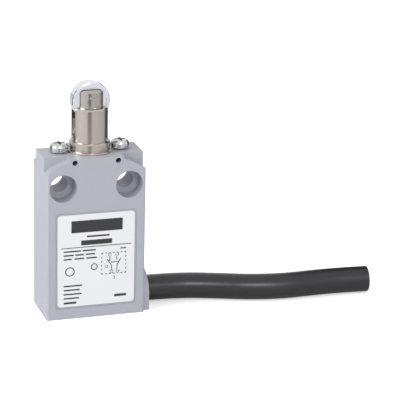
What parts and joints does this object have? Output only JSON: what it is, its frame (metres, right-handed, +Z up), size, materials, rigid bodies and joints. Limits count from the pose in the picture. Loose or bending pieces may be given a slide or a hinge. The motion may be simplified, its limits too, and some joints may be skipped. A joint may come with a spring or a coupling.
{
  "type": "limit switch",
  "caption": "Compact prewired limit switch: flat metal housing with two fixing holes, a spring-loaded roller plunger on top and a cable out of one side.",
  "frame": {"origin": "centre of the housing's base, under the plunger's axis", "axes": "+Z up along the plunger, -Y out of the labelled front face, +X towards the cable"},
  "size_m": [0.1026, 0.0207, 0.0705],
  "materials": {
    "grey_paint": "smooth grey powder coat",
    "label_film": "satin printed film",
    "nickel": "satin nickel plate",
    "steel": "turned steel",
    "roller_steel": "polished hardened steel",
    "black_steel": "black oxide",
    "bright_zinc": "bright zinc plate",
    "spring_steel": "drawn spring wire",
    "nitrile": "matte nitrile rubber",
    "black_plastic": "moulded thermoset",
    "white_plastic": "moulded nylon",
    "brass": "stamped strip",
    "silver": "silver alloy",
    "black_pvc": "satin flexible pvc",
    "resin": "cast resin",
    "core_brown": "pvc insulation",
    "core_blue": "pvc insulation",
    "core_black": "pvc insulation",
    "core_grey": "pvc insulation",
    "core_green_yellow": "pvc insulation"
  },
  "bodies": {
    "housing": {"housing": "grey_paint", "rear_cover": "grey_paint", "nameplate": "label_film", "head_bush": "nickel", "bush_lock_pins": "black_steel", "head_screws": "bright_zinc", "rear_cover_screws": "bright_zinc", "contact_block_screws": "bright_zinc", "earth_screw": "bright_zinc", "terminal_screws": "bright_zinc", "return_spring": "spring_steel", "tappet_spring": "spring_steel", "bush_seal_ring": "nitrile", "rear_cover_gasket": "nitrile", "contact_block_base": "black_plastic", "contact_block_cover": "white_plastic", "break_contact_strips": "brass", "make_contact_strips": "brass", "earth_tag": "brass", "fixed_contact_tips": "silver", "cable": "black_pvc", "entry_sealant": "resin", "core_brown": "core_brown", "core_blue": "core_blue", "core_black": "core_black", "core_grey": "core_grey", "core_green_yellow": "core_green_yellow"},
    "plunger": {"plunger": "steel", "roller_pin": "steel", "plunger_seal": "nitrile", "push_rod": "steel", "push_rod_clip": "steel"},
    "roller": {"roller": "roller_steel"},
    "tappet": {"tappet": "white_plastic", "bridge_spring": "spring_steel"},
    "contact_bridge": {"contact_bridge": "brass", "bridge_contact_tips": "silver"}
  },
  "joints": [
    {"name": "plunger_slide", "type": "slide", "parent": "housing", "child": "plunger", "axis": [0, 0, -1], "range_m": [0, 0.005], "stiffness_N_per_m": 1200, "springref_m": -0.004, "deforming": ["return_spring"]},
    {"name": "roller_spin", "type": "hinge", "parent": "plunger", "child": "roller", "pos_m": [0, 0, 0.06475], "axis": [0, 1, 0], "continuous": true},
    {"name": "tappet_slide", "type": "slide", "parent": "housing", "child": "tappet", "axis": [0, 0, -1], "range_m": [0, 0.005], "stiffness_N_per_m": 60, "springref_m": -0.002, "deforming": ["tappet_spring"]},
    {"name": "bridge_float", "type": "slide", "parent": "tappet", "child": "contact_bridge", "axis": [0, 0, 1], "range_m": [0, 0.002], "stiffness_N_per_m": 60, "springref_m": -0.001, "deforming": ["bridge_spring"]}
  ],
  "couplings": [
    {"joint": "tappet_slide", "follows": "plunger_slide", "ratio": 1},
    {"joint": "bridge_float", "follows": "plunger_slide", "ratio": 0.4}
  ]
}
